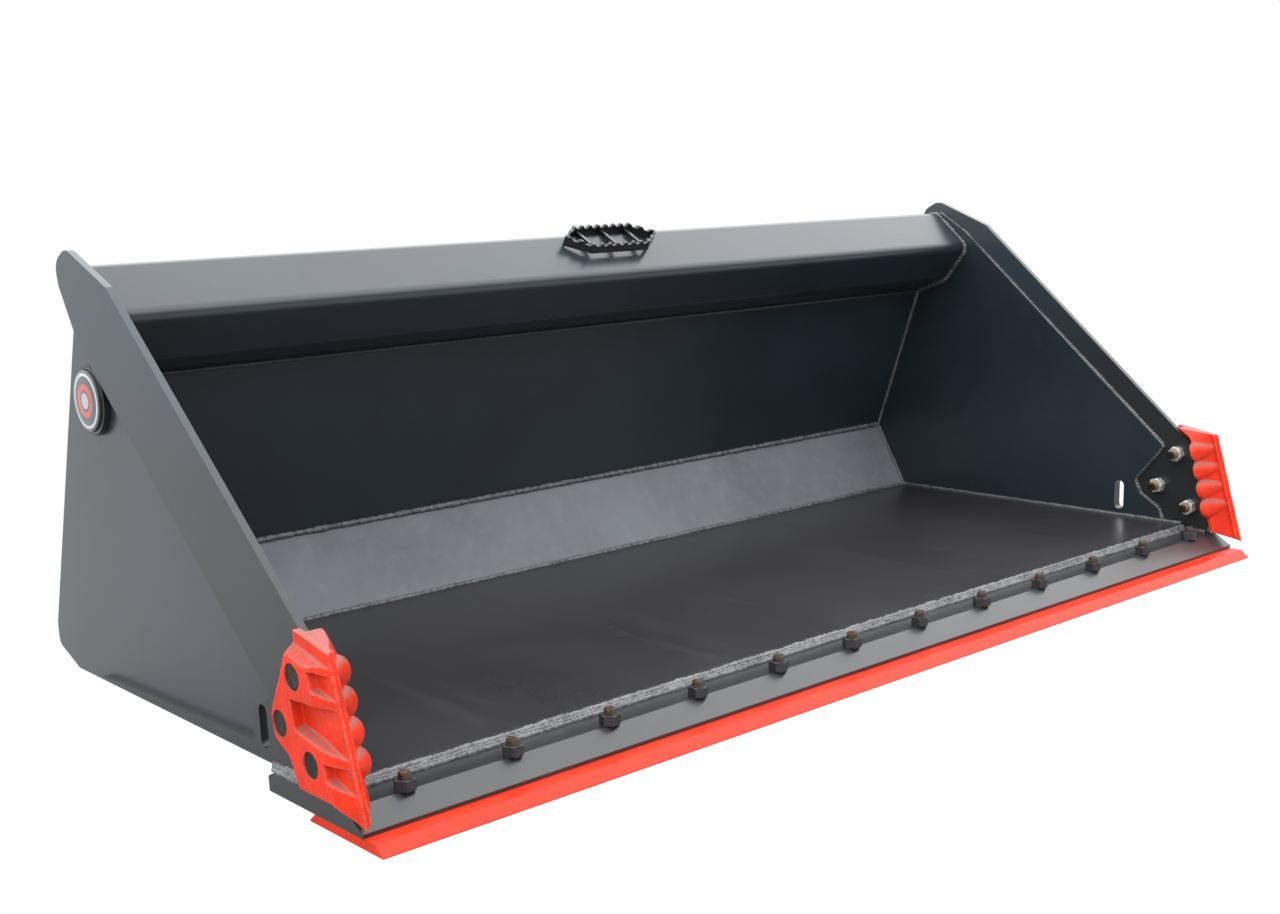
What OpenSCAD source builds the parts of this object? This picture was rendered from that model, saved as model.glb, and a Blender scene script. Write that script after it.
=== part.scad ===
// Skid steer bucket: lapped side plates, folded top rail, bolt-on cutting edge, cast side
// cutters, grip step and weld-on quick attach plate. Millimetres.
// Working planes: y = 0 is the cutting edge's bolt row, z = 0 is the top of the base edge.
// placed() then moves the origin to the middle of the footprint, at the underside.

/* [Overall] */
// Width over the side plates
bucket_w = 1830; // [1500:1:2200]
// Height of the side plates' front corner above the base edge
side_h = 554; // [460:1:670]
// Depth from the bolt row to the rear of the side plates
shell_d = 818; // [720:1:990]
// Lean of the back sheet from upright, in degrees
back_lean = 20.2; // [15:0.1:25]

/* [Plates] */
// Thickness of the outer edge plates
edge_plate_t = 10; // [8:0.5:16]
// Thickness of the side sheets
side_t = 8; // [6:0.5:12]
// Thickness of the floor plate
floor_t = 12; // [8:0.5:16]
// Thickness of the back sheet, heel plate and top rail
sheet_t = 6; // [5:0.5:10]
// Width of the outer edge plate's raking strip
strip_w = 126; // [110:1:160]
// Setback of the side sheet's front edge inside the edge plate
lap_setback = 39; // [30:1:60]
// Height of the heel plate above the base edge
heel_h = 135; // [100:1:170]
// Run of the heel plate from the floor to the back sheet
heel_run = 71; // [50:1:90]

/* [Top rail] */
// Width of the rail's raking upper face
rail_face = 99; // [80:1:130]
// Outer radius of the rail's bends
rail_r = 16; // [10:1:24]

/* [Cutting edges] */
// Thickness of the base edge
base_t = 25; // [20:0.5:32]
// Front reach of the base edge from its bolt row
base_front = 36; // [30:1:50]
// Rear reach of the base edge from its bolt row
base_rear = 168; // [140:1:200]
// Thickness of the bolt-on edge
bolt_on_t = 13; // [10:0.5:20]
// Front reach of the bolt-on edge from its bolt row
bolt_on_front = 72; // [64:1:90]
// Rear reach of the bolt-on edge from its bolt row
bolt_on_rear = 80; // [64:1:90]
// Pitch of the edge bolts
bolt_pitch = 152.4; // [120:0.1:200]
// Distance from each end of the edge to its first bolt
bolt_end = 76; // [60:1:120]

/* [Fasteners] */
// Diameter of the bolts
bolt_d = 15.9; // [12:0.1:20]
// Width of a nut across its flats
nut_af = 24; // [20:0.5:30]
// Height of a nut
nut_h = 14; // [10:0.5:18]
// Diameter of a plow bolt's head
head_d = 30.6; // [24:0.1:34]
// Thread that stands out of an edge nut
edge_stick = 8; // [2:1:14]
// Thread that stands out of a cutter nut
cutter_stick = 16; // [4:1:24]

/* [Side cutters] */
// Thickness of a cutter's outer cheek
cheek_t = 20; // [16:0.5:26]
// Reach of the scalloped lobes past the edge plate's inner face
lobe_reach = 26; // [16:1:34]
// Number of scalloped lobes
lobes = 4; // [3:1:5]

/* [Step] */
// Length of the grip step
step_l = 200; // [140:1:320]
// Width of the grip step
step_w = 62; // [40:1:80]
// Thickness of the grip bars
grip_t = 5; // [4:0.5:8]
// Height of the grip bars with their teeth
grip_h = 17; // [14:0.5:24]
// Pitch of the grip teeth
tooth_pitch = 17; // [14:1:26]

/* [Badges] */
// Diameter of the guard ring round each badge
badge_d = 94; // [70:1:110]
// Height of the guard ring
badge_h = 9; // [6:0.5:16]

/* [Quick attach] */
// Width of the coupler plate
coupler_w = 1140; // [1000:1:1180]
// Height of the coupler plate along the back
coupler_h = 415; // [380:1:440]
// Thickness of the coupler plates
coupler_t = 10; // [8:0.5:14]
// Length of the hooked top lip
lip_l = 62; // [50:1:75]
// Depth of the bottom flange
flange_d = 70; // [60:1:90]
// Distance between the lock pin slots
pin_spacing = 978; // [880:1:1000]
// Width of a lock pin slot
pin_slot_w = 30; // [26:1:36]
// Length of a lock pin slot
pin_slot_l = 66; // [50:1:76]

/* [Hidden] */
$fn = 48;

// Clearances
hole_gap = 0.8;
seat_gap = 0.15;
side_gap = 0.5;

// Planes across the width
x_out = bucket_w / 2;
x_mid = x_out - edge_plate_t;
x_in = x_mid - side_t;

// The back sheet's inner face, as a line that leans forward as it rises
heel_corner_y = shell_d - 126;
heel_top = [heel_corner_y + heel_run, heel_h];
function back_y(z) = heel_top[0] + (heel_top[1] - z) * tan(back_lean);
sheet_dy = sheet_t / cos(back_lean);

// Top corner of the back sheet, and what is set out from it
rail_foot_z = side_h - 52;
rail_foot = [back_y(rail_foot_z), rail_foot_z];
side_top = [rail_foot[0] - 130, side_h];
rake_foot = [77, 190];
rake = atan2(side_top[1] - rake_foot[1], side_top[0] - rake_foot[0]);
along = [cos(rake), sin(rake)];
inward = [sin(rake), -cos(rake)];
ear_r = 28;
ear_c = side_top + [127, 18];
ear_notch = rail_foot + [-23, 0];

// Side cutter bolts, as depth and height from the edge's bolt row
cutter_bolts = [[65, 140], [101, 78], [38, 44]];
slot_c = [178, 51];
slot_l = 54;
slot_w = 19;

// Placing
y_front = -bolt_on_front;
y_rear = coupler_foot()[0] + flange_d;
z_under = -base_t - bolt_on_t;

function unit(v) = v / norm(v);
function flat(p) = [p[0], p[1]];
function radius(p) = len(p) > 2 ? p[2] : 0;
function turn(a, b, c) = cross(b - a, c - b);
function crossing(p, u, q, v) = p + u * (cross(q - p, v) / cross(u, v));

// Points of the arc that rounds corner b, between neighbours a and c
function corner(a, b, c, r) = let (
        u = unit(a - b),
        w = unit(c - b),
        half = acos(u * w) / 2,
        m = b + unit(u + w) * r / sin(half),
        p = b + u * r / tan(half) - m,
        q = b + w * r / tan(half) - m,
        start = atan2(p[1], p[0]),
        sweep = (atan2(q[1], q[0]) - start + 540) % 360 - 180,
        n = max(3, ceil(abs(sweep) / 9)))
    [for (i = [0 : n]) m + r * [cos(start + sweep * i / n), sin(start + sweep * i / n)]];

// A closed outline of [y, z, radius] points with its corners rounded
function rounded(pts) = [for (i = [0 : len(pts) - 1]) let (
        a = flat(pts[(i + len(pts) - 1) % len(pts)]),
        b = flat(pts[i]),
        c = flat(pts[(i + 1) % len(pts)]),
        r = radius(pts[i]))
    each r > 0 ? corner(a, b, c, r) : [b]];

// An open path of [y, z, radius] points with its bends rounded
function bends(pts) = [for (i = [0 : len(pts) - 1])
    each i > 0 && i < len(pts) - 1 && radius(pts[i]) > 0
        ? corner(flat(pts[i - 1]), flat(pts[i]), flat(pts[i + 1]), radius(pts[i]))
        : [flat(pts[i])]];

// The same path moved to its left by t, with mitred corners
function beside(pts, t) = [for (i = [0 : len(pts) - 1]) let (
        last = len(pts) - 1,
        b = flat(pts[i]),
        u = unit(b - flat(pts[max(i - 1, 0)] == pts[i] ? 2 * pts[i] - pts[i + 1] : pts[i - 1])),
        w = i == last ? u : unit(flat(pts[i + 1]) - b),
        v = i == 0 ? w : u,
        n = unit([-v[1] - w[1], v[0] + w[0]]),
        left_turn = cross(v, w) > 0)
    concat(b + n * t / (n * [-w[1], w[0]]),
        [radius(pts[i]) > 0 ? max(1, radius(pts[i]) + (left_turn ? -t : t)) : 0])];
function reversed(pts) = [for (i = [len(pts) - 1 : -1 : 0]) pts[i]];
function strip(pts, t) = concat(bends(pts), reversed(bends(beside(pts, t))));

module placed() translate([0, -(y_front + y_rear) / 2, -z_under]) children();
// A section in y and z, drawn across from x0 to x1
module across(x0, x1, pts)
    translate([x0, 0, 0]) rotate([90, 0, 90]) linear_extrude(x1 - x0) polygon(pts);
module handed(side) {
    if (side < 0) mirror([1, 0, 0]) children();
    else children();
}
// A round bar along x at depth and height p
module bar_x(p, x0, x1, d) translate([x0, p[0], p[1]]) rotate([0, 90, 0]) cylinder(d = d, h = x1 - x0);
module hex_x(p, x0, x1, af)
    translate([x0, p[0], p[1]]) rotate([0, 90, 0]) cylinder(d = af / cos(30), h = x1 - x0, $fn = 6);
module side_slot() {
    half = (slot_l - slot_w) / 2;
    for (dz = [-half, half]) bar_x(slot_c + [0, dz], x_in - 5, x_out + 5, slot_w);
    translate([x_in - 5, slot_c[0] - slot_w / 2, slot_c[1] - half])
        cube([x_out - x_in + 10, slot_w, 2 * half]);
}

// ---- Sides ----
leg_h = 28;
function edge_plate_outline() = let (
        back_line = rake_foot + inward * strip_w,
        low = crossing(back_line, along, [0, 88], [1, 0]),
        top_back = crossing(back_line, along, ear_notch, [0, 1]),
        under = ear_c + ear_r * [cos(-35), sin(-35)])
    rounded([[2, 0], [2, 30, 20], [30, 150, 12], concat(rake_foot, [30]), concat(side_top, [12]),
        concat(ear_c + [-ear_r * 0.36, ear_r + 2], [ear_r]),
        concat(ear_c + [ear_r, ear_r * 0.4], [ear_r * 0.8]), concat(under + [0, -3], [ear_r * 0.7]),
        concat(top_back, [10]), concat(low, [4]), [low[0] + 45, 74, 5], [low[0] + 54, leg_h, 5],
        [shell_d - 400, leg_h - 7, 40], [shell_d - 210, floor_t + 3], [shell_d - 170, floor_t],
        [base_rear - 62, floor_t], [base_rear - 70, 0]]);
module edge_plate(side) color([0.22, 0.23, 0.24]) placed() handed(side) difference() {
    across(x_mid, x_out, edge_plate_outline());
    for (p = cutter_bolts) bar_x(p, x_mid - 1, x_out + 1, bolt_d + 2 * hole_gap);
    side_slot();
}
function side_sheet_outline() = let (
        front_line = rake_foot + inward * lap_setback,
        low = crossing(front_line, along, [0, 152], [1, 0]),
        high = crossing(front_line, along, [0, side_h - 12], [1, 0]))
    rounded([[86, 0], [98, 34, 12], [136, 58, 14], [150, 84, 14], concat(low, [6]), concat(high, [16]),
        concat(ear_c + [-20, 8], [16]), [rail_foot[0] + sheet_dy + 1, ear_c[1] + 8, 16],
        [rail_foot[0] + sheet_dy + 1, rail_foot[1]], [shell_d, 56, 20], [shell_d, 25, 14],
        [shell_d - 66, 0, 10]]);
module side_sheet(side) color([0.30, 0.31, 0.32]) placed() handed(side) difference() {
    across(x_in, x_mid, side_sheet_outline());
    side_slot();
}

// ---- Floor, heel, back and rail ----
floor_front = 46;
floor_rear = shell_d - 68;
module floor_plate() color([0.20, 0.19, 0.19]) placed()
    translate([-x_in, floor_front, 0]) cube([2 * x_in, floor_rear - floor_front, floor_t]);

module heel_plate() {
    foot = [heel_corner_y, floor_t];
    u = unit(heel_top - foot);
    n = [u[1], -u[0]];
    back = [sin(back_lean), -cos(back_lean)];
    color([0.45, 0.46, 0.48]) placed() across(-x_in, x_in, [foot, heel_top,
        crossing(foot + n * sheet_t, u, heel_top, back), crossing(foot + n * sheet_t, u, foot, [1, 0])]);
}
// Outer shell: the heel bend and the leaning back
heel_bend = [back_y(26), 26];
module back_sheet() color([0.13, 0.16, 0.17]) placed() difference() {
    across(-x_in, x_in, strip([rail_foot + 20 * [-sin(back_lean), cos(back_lean)],
        concat(heel_bend, [12]), [floor_rear, sheet_t]], sheet_t));
    translate([-x_out, 0, rail_foot[1]]) cube([bucket_w, 2 * shell_d, side_h]);
}
// Folded rail: rear flange, flat top, raking face, lower face and a lip back to the sheet
rail_top = side_h + 24;
rail_rear = rail_foot[0] + sheet_dy;
rail_ridge = [rail_rear - 26, rail_top];
rail_nose = rail_ridge + rail_face * [-cos(41), -sin(41)];
rail_belly = rail_nose + rail_face * 0.84 * [cos(50), -sin(50)];
rail_lip = crossing(rail_belly, [cos(19), -sin(19)], heel_top, [-sin(back_lean), cos(back_lean)]);
module top_rail() color([0.42, 0.43, 0.44]) placed() difference() {
    across(-x_in, x_in, strip([[rail_rear, rail_foot[1]], [rail_rear, rail_top, rail_r],
        concat(rail_ridge, [rail_r]), concat(rail_nose, [rail_r]), concat(rail_belly, [rail_r]),
        rail_lip + 12 * [cos(19), -sin(19)]], sheet_t));
    across(-x_out, x_out, [rail_foot, heel_top, heel_top + [shell_d, 0],
        [rail_foot[0] + shell_d, rail_foot[1]]]);
}

// ---- Cutting edges ----
edge_bevel = 32;
edge_nose = 5;
// The base edge is this much longer than the sides at each end, as a seat for its weld
edge_ledge = 5;
module base_edge() color([0.28, 0.29, 0.30]) placed() difference() {
    across(-x_out - edge_ledge, x_out + edge_ledge, [[-base_front, -base_t],
        [-base_front, -base_t + edge_nose], [-base_front + edge_bevel, 0],
        [base_rear - 12, 0], [base_rear, -6], [base_rear, -base_t]]);
    edge_holes();
}
bolt_on_bevel = 14;
module bolt_on_edge() color([0.86, 0.14, 0.09]) placed() difference() {
    across(-x_out - 3, x_out + 3, [[-bolt_on_front, z_under], [-bolt_on_front, z_under + 1.5],
        [-bolt_on_front + bolt_on_bevel, -base_t], [bolt_on_rear - bolt_on_bevel, -base_t],
        [bolt_on_rear, z_under + 1.5], [bolt_on_rear, z_under]]);
    edge_holes();
    at_edge_bolts() translate([0, 0, z_under - 0.01])
        cylinder(d1 = head_d + 2 * seat_gap, d2 = bolt_d + 2 * hole_gap, h = head_cone_h);
}
head_cone_h = 8;
// Bolts are spread evenly between the end distances, as near to the pitch as fits
bolt_span = bucket_w - 2 * bolt_end;
bolt_gaps = round(bolt_span / bolt_pitch);
module at_edge_bolts() for (i = [0 : bolt_gaps])
    translate([bolt_span * (i / bolt_gaps - 0.5), 0, 0]) children();
module edge_holes() at_edge_bolts()
    translate([0, 0, z_under - 1]) cylinder(d = bolt_d + 2 * hole_gap, h = base_t + bolt_on_t + 2);
module edge_bolts() color([0.30, 0.24, 0.20]) placed() at_edge_bolts() {
    translate([0, 0, z_under]) cylinder(d1 = head_d, d2 = bolt_d, h = head_cone_h);
    translate([0, 0, z_under + head_cone_h - 1])
        cylinder(d = bolt_d, h = bolt_on_t + base_t - head_cone_h + 1 + nut_h + edge_stick);
}
module edge_nuts() color([0.25, 0.23, 0.22]) placed() at_edge_bolts() difference() {
    cylinder(d = nut_af / cos(30), h = nut_h, $fn = 6);
    translate([0, 0, -1]) cylinder(d = bolt_d + 2 * seat_gap, h = nut_h + 2);
}

// ---- Side cutters ----
ridge_low = [-55, -8];
ridge_high = [-1, 178];
ridge_tilt = atan2(ridge_high[0] - ridge_low[0], ridge_high[1] - ridge_low[1]);
ridge_x = x_out + 10;
cheek_outline = rounded([[-50, -6], [3, 178], [72, 190, 5], [74, 174, 8], [90, 140, 12],
    [120, 88, 16], [116, 60, 14], [84, 43, 14], [68, 9, 7], [-4, 9, 6]]);
module side_cutter(side) color([0.87, 0.16, 0.10]) placed() handed(side) difference() {
    union() {
        across(x_out, x_out + cheek_t, cheek_outline);
        intersection() {
            nose_prism();
            across(x_mid - lobe_reach - 1, x_out + cheek_t, nose_limits);
        }
    }
    for (p = cutter_bolts) {
        bar_x(p, x_out - 1, x_out + cheek_t + 1, bolt_d + 2 * hole_gap);
        bar_x(p, x_out + cheek_t - head_seat, x_out + cheek_t + 1, head_d + 2 * hole_gap);
    }
    // the band above the bolt pad is thinner
    across(x_out + cheek_t / 2, x_out + cheek_t + 1,
        [[-20, 161], [8, 161], [90, 178], [90, 220], [-20, 220]]);
    // outer face falls away towards the ridge
    rotate_about(ridge_low, ridge_tilt) translate([x_out, 0, -40]) linear_extrude(300)
        polygon([[ridge_x - x_out + 0.5, -60], [ridge_x - x_out + 0.5, 0], [cheek_t, 30],
            [cheek_t + 20, 30], [cheek_t + 20, -60]]);
}
head_seat = 7;
module rotate_about(p, tilt) translate([0, p[0], p[1]]) rotate([-tilt, 0, 0]) children();
// The V-shaped nose ahead of the edge plate, with lobes along its inner end
lobe_back = 33;
nose_limits = [[-80, -21], [-80, 162], [-1, 178], [61, 189], [39, 172], [29, 150], [1, 30], [1, 5], [-14, 5]];
nose_l = norm(ridge_high - ridge_low);
lobe_pitch = nose_l * 0.712 / lobes;
module nose_prism() rotate_about(ridge_low, ridge_tilt) difference() {
    translate([0, 0, -40]) linear_extrude(300) polygon([[ridge_x, 0], [x_mid - lobe_reach, lobe_back],
        [x_mid - lobe_reach, 90], [x_out + 8, 90]]);
    // valleys between the lobes
    for (i = [0 : lobes]) translate([x_mid - lobe_reach - 2, 0, nose_l * 0.266 + i * lobe_pitch])
        rotate([-90, 0, 0]) cylinder(r = lobe_pitch * 0.37, h = 90);
    // the inner end steps back above and below the lobes
    for (z = [-41, nose_l * 0.266 + lobes * lobe_pitch]) translate([x_mid - lobe_reach - 2, 0, z])
        cube([lobe_pitch * 0.37, 90, nose_l * 0.266 + 41]);
}

module cutter_bolts(side) color([0.20, 0.18, 0.17]) placed() handed(side) for (p = cutter_bolts) {
    bar_x(p, x_out + cheek_t - head_seat, x_out + cheek_t - 1, head_d);
    bar_x(p, x_mid - nut_h - cutter_stick, x_out + cheek_t - head_seat + 1, bolt_d);
}
module cutter_nuts(side) color([0.75, 0.74, 0.70]) placed() handed(side) for (p = cutter_bolts)
    difference() {
        hex_x(p, x_mid - nut_h, x_mid, nut_af);
        bar_x(p, x_mid - nut_h - 1, x_mid + 1, bolt_d + 2 * seat_gap);
    }

// ---- Grip step: a long six-sided loop of toothed bar, tipped towards the front ----
step_tip = 30;
step_c = [rail_ridge[0] - 23, rail_top - 6];
step_straight = step_l * 0.61;
// Plan of half the loop: the straight bar and its two slanted ends
module half_loop() {
    outer = [[-step_l / 2, 0], [-step_straight / 2, step_w / 2], [step_straight / 2, step_w / 2],
        [step_l / 2, 0]];
    linear_extrude(grip_h) polygon(concat(
        [for (p = outer) p],
        [for (p = reversed(outer)) [p[0] * (1 - 2.1 * grip_t / step_l), max(0, p[1] - grip_t)]]));
}
// Gullets that leave pointed teeth along the top of a half loop
module gullets() {
    n = floor(step_l / tooth_pitch);
    for (i = [0 : n - 1]) translate([(i - (n - 1) / 2) * tooth_pitch, 0, grip_h + 1.5])
        rotate([-90, 0, 0]) cylinder(d = tooth_pitch * 0.72, h = step_w);
}
module step_half(dir) color([0.10, 0.10, 0.11]) placed()
    translate([0, step_c[0], step_c[1]]) rotate([step_tip, 0, 0]) rotate([0, 0, dir > 0 ? 0 : 180])
        translate([0, 0, -grip_h / 2]) difference() {
            half_loop();
            gullets();
        }
bracket_t = 6;
module step_brackets() color([0.12, 0.12, 0.13]) placed() difference() {
    for (x = [-0.26, 0, 0.26]) translate([x * step_l - bracket_t / 2, step_c[0], step_c[1]])
        rotate([step_tip, 0, 0]) {
            translate([0, -step_w / 2 + grip_t, -6]) cube([bracket_t, step_w - 2 * grip_t, 6]);
            translate([0, -2, -40]) cube([bracket_t, step_w / 2 - grip_t + 2, 38]);
        }
    across(-x_in, x_in, rail_section_solid());
}
function rail_section_solid() = bends([[rail_rear, 0], [rail_rear, rail_top, rail_r],
    concat(rail_ridge, [rail_r]), concat(rail_nose, [rail_r]), concat(rail_belly, [rail_r]),
    [rail_belly[0], 0]]);

// ---- Badges ----
badge_rise = 6;
badge_z = side_h - 150;
// The badge stands just behind the edge plate's strip
badge_c = crossing(rake_foot + inward * strip_w, along, [0, badge_z], [1, 0])
    + [(badge_d / 2 + 1) / sin(rake), 0];
module badge_ring(side) color([0.05, 0.05, 0.06]) placed() handed(side) difference() {
    bar_x(badge_c, x_mid, x_mid + badge_h, badge_d);
    bar_x(badge_c, x_mid - 1, x_mid + badge_h + 1, badge_d - 12);
}
module badge_disc(side) color([0.75, 0.20, 0.18]) placed() handed(side)
    bar_x(badge_c, x_mid, x_mid + badge_h + badge_rise, badge_d - 12 - 2 * side_gap);

// ---- Quick attach ----
up_back = [-sin(back_lean), cos(back_lean)];
off_back = [cos(back_lean), sin(back_lean)];
function coupler_foot() = [back_y(62) + sheet_dy, 62] + coupler_t * [cos(back_lean), sin(back_lean)];
function on_coupler(s, d) = [back_y(62) + sheet_dy, 62] + s * up_back + d * off_back;
module coupler_plate() color([0.24, 0.25, 0.26]) placed()
    across(-coupler_w / 2, coupler_w / 2, [on_coupler(0, 0), on_coupler(0, coupler_t),
        on_coupler(coupler_h, coupler_t), on_coupler(coupler_h, 0)]);
lip_fall = 45;
module coupler_top_lip() {
    root = on_coupler(coupler_h, coupler_t);
    dir = cos(lip_fall) * off_back - sin(lip_fall) * up_back;
    up = sin(lip_fall) * off_back + cos(lip_fall) * up_back;
    color([0.24, 0.25, 0.26]) placed() across(-coupler_w / 2, coupler_w / 2,
        [root, root + lip_l * dir, root + lip_l * dir + coupler_t * up, on_coupler(coupler_h + coupler_t, 0),
            on_coupler(coupler_h, 0)]);
}
module coupler_bottom_flange() {
    root = on_coupler(0, coupler_t);
    color([0.24, 0.25, 0.26]) placed() difference() {
        translate([-coupler_w / 2, root[0] - 2 * coupler_t, root[1] - coupler_t - 4])
            cube([coupler_w, flange_d + 2 * coupler_t, coupler_t]);
        for (x = [-pin_spacing / 2, pin_spacing / 2])
            translate([x, root[0] + flange_d * 0.55, root[1] - coupler_t - 5]) pin_slot();
        across(-x_out, x_out, [[0, 0], [back_y(0) + sheet_dy, 0], [back_y(200) + sheet_dy, 200], [0, 200]]);
    }
}
module pin_slot() {
    half = (pin_slot_l - pin_slot_w) / 2;
    for (x = [-half, half]) translate([x, 0, 0]) cylinder(d = pin_slot_w, h = coupler_t + 2);
    translate([-half, -pin_slot_w / 2, 0]) cube([2 * half, pin_slot_w, coupler_t + 2]);
}
// End plates close the coupler's pocket between the lip and the flange
module coupler_end(side) {
    root = on_coupler(coupler_h, coupler_t);
    dir = cos(lip_fall) * off_back - sin(lip_fall) * up_back;
    foot = on_coupler(0, coupler_t);
    color([0.24, 0.25, 0.26]) placed() handed(side) across(coupler_w / 2, coupler_w / 2 + coupler_t,
        rounded([on_coupler(-coupler_t, 0), on_coupler(coupler_h + coupler_t, 0),
            concat(root + lip_l * dir, [12]), concat(on_coupler(coupler_h * 0.72, coupler_t + 26), [30]),
            concat(on_coupler(coupler_h * 0.25, coupler_t + 26), [30]),
            concat(foot + [flange_d, -4 - coupler_t / 2], [10])]));
}
// Ribs under the bottom flange, down to the heel bend
module coupler_ribs() color([0.24, 0.25, 0.26]) placed() for (x = [-0.42, -0.14, 0.14, 0.42])
    across(x * coupler_w - coupler_t / 2, x * coupler_w + coupler_t / 2,
        let (root = on_coupler(0, coupler_t), z = root[1] - coupler_t - 4)
        [[back_y(38) + sheet_dy, 38], [root[0] + 20, z], [back_y(z) + sheet_dy, z]]);

// ---- Wear bars under the floor ----
wear_w = 76;
wear_t = 10;
module floor_wear_bars() color([0.25, 0.25, 0.26]) placed() for (x = [-0.33, 0, 0.33])
    translate([x * bucket_w - wear_w / 2, base_rear + 20, -wear_t])
        cube([wear_w, floor_rear - base_rear - 30, wear_t]);

edge_plate(-1);  // left_edge_plate
edge_plate(1);  // right_edge_plate
side_sheet(-1);  // left_side_sheet
side_sheet(1);  // right_side_sheet
floor_plate();
heel_plate();
back_sheet();
top_rail();
base_edge();
bolt_on_edge();
edge_bolts();
edge_nuts();
side_cutter(-1);  // left_side_cutter
side_cutter(1);  // right_side_cutter
cutter_bolts(-1);  // left_cutter_bolts
cutter_bolts(1);  // right_cutter_bolts
cutter_nuts(-1);  // left_cutter_nuts
cutter_nuts(1);  // right_cutter_nuts
step_half(1);  // step_rear_grip
step_half(-1);  // step_front_grip
step_brackets();
badge_ring(-1);  // left_badge_ring
badge_ring(1);  // right_badge_ring
badge_disc(-1);  // left_badge_disc
badge_disc(1);  // right_badge_disc
coupler_plate();
coupler_top_lip();
coupler_bottom_flange();
coupler_end(-1);  // left_coupler_end
coupler_end(1);  // right_coupler_end
coupler_ribs();
floor_wear_bars();
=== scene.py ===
"""Visible pieces and finishes of a skid steer bucket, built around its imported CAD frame."""

import math

import bmesh
import bpy
from mathutils import Matrix, Vector, noise


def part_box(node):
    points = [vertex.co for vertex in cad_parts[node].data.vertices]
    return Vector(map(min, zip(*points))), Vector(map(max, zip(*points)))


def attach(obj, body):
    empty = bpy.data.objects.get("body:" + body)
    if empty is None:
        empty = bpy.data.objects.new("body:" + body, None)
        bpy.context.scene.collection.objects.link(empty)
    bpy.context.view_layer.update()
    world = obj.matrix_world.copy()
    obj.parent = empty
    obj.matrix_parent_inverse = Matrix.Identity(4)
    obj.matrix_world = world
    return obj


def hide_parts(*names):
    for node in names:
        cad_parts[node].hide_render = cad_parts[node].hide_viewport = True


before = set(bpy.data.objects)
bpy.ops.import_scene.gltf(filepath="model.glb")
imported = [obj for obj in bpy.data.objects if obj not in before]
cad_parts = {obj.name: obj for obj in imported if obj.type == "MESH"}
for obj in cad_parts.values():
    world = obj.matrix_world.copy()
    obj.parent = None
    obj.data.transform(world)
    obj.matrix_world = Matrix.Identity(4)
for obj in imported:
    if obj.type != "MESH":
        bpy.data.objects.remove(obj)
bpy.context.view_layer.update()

bl_info = {
    "name": "Skid Steer Bucket Finish",
    "version": (1, 0, 0),
    "blender": (4, 5, 0),
    "location": "3D View > Sidebar > Bucket",
    "description": "Builds the welds, castings, fasteners and paint of a loader bucket around its frame",
    "category": "Object",
}

MM = 0.001
BODY = "root"


# ---- Places: x across, y back from the bolt row, z up from the base edge's top, in millimetres ----

BASE_FRONT = 36
ROW_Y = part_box("base_edge")[0].y / MM + BASE_FRONT
TOP_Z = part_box("base_edge")[1].z / MM
X_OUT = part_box("right_edge_plate")[1].x / MM
X_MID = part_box("right_edge_plate")[0].x / MM
X_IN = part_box("right_side_sheet")[0].x / MM
CHEEK_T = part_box("right_side_cutter")[1].x / MM - X_OUT
LOBE_REACH = X_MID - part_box("right_side_cutter")[0].x / MM
FLOOR_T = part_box("floor_plate")[1].z / MM - TOP_Z
FLOOR_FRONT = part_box("floor_plate")[0].y / MM - ROW_Y
SIDE_TOP_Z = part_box("right_edge_plate")[1].z / MM - TOP_Z - 48
HEEL_FOOT = Vector((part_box("heel_plate")[0].y / MM - ROW_Y, FLOOR_T))
HEEL_RUN = 71
HEEL_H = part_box("heel_plate")[1].z / MM - TOP_Z
HEEL_TOP = Vector((HEEL_FOOT.x + HEEL_RUN, HEEL_H))
LEAN = math.radians(20.2)
SHEET_T = 6
SHEET_DY = SHEET_T / math.cos(LEAN)
SHELL_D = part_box("right_side_sheet")[1].y / MM - ROW_Y


def place(x, y, z):
    """A point in metres in the frame, from millimetres in the bucket's own planes."""
    return Vector((x, y + ROW_Y, z + TOP_Z)) * MM


def back_y(z):
    """Depth of the back sheet's inner face at height z."""
    return HEEL_TOP.x + (HEEL_TOP.y - z) * math.tan(LEAN)


def polar(length, degrees):
    """A (y, z) step of the given length and direction."""
    return Vector((math.cos(math.radians(degrees)), math.sin(math.radians(degrees)))) * length


def crossing(p, u, q, v):
    """Where the line from p along u meets the line from q along v."""
    return p + u * ((q - p).cross(v) / u.cross(v))


def corner(a, b, c, r, steps=6):
    """Points of the arc that rounds corner b, between neighbours a and c."""
    u, w = (a - b).normalized(), (c - b).normalized()
    half = math.acos(max(-1, min(1, u.dot(w)))) / 2
    middle = b + (u + w).normalized() * r / math.sin(half)
    start, end = b + u * r / math.tan(half) - middle, b + w * r / math.tan(half) - middle
    sweep = start.angle_signed(end)
    first = math.atan2(start.y, start.x)
    return [middle + polar(r, math.degrees(first - sweep * i / steps)) for i in range(steps + 1)]


def bends(points):
    """An open path of (y, z, radius) points with its bends rounded."""
    flat = [Vector(p[:2]) for p in points]
    path = [flat[0]]
    for i in range(1, len(points) - 1):
        r = points[i][2] if len(points[i]) > 2 else 0
        path += corner(flat[i - 1], flat[i], flat[i + 1], r) if r else [flat[i]]
    return path + [flat[-1]]


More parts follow.
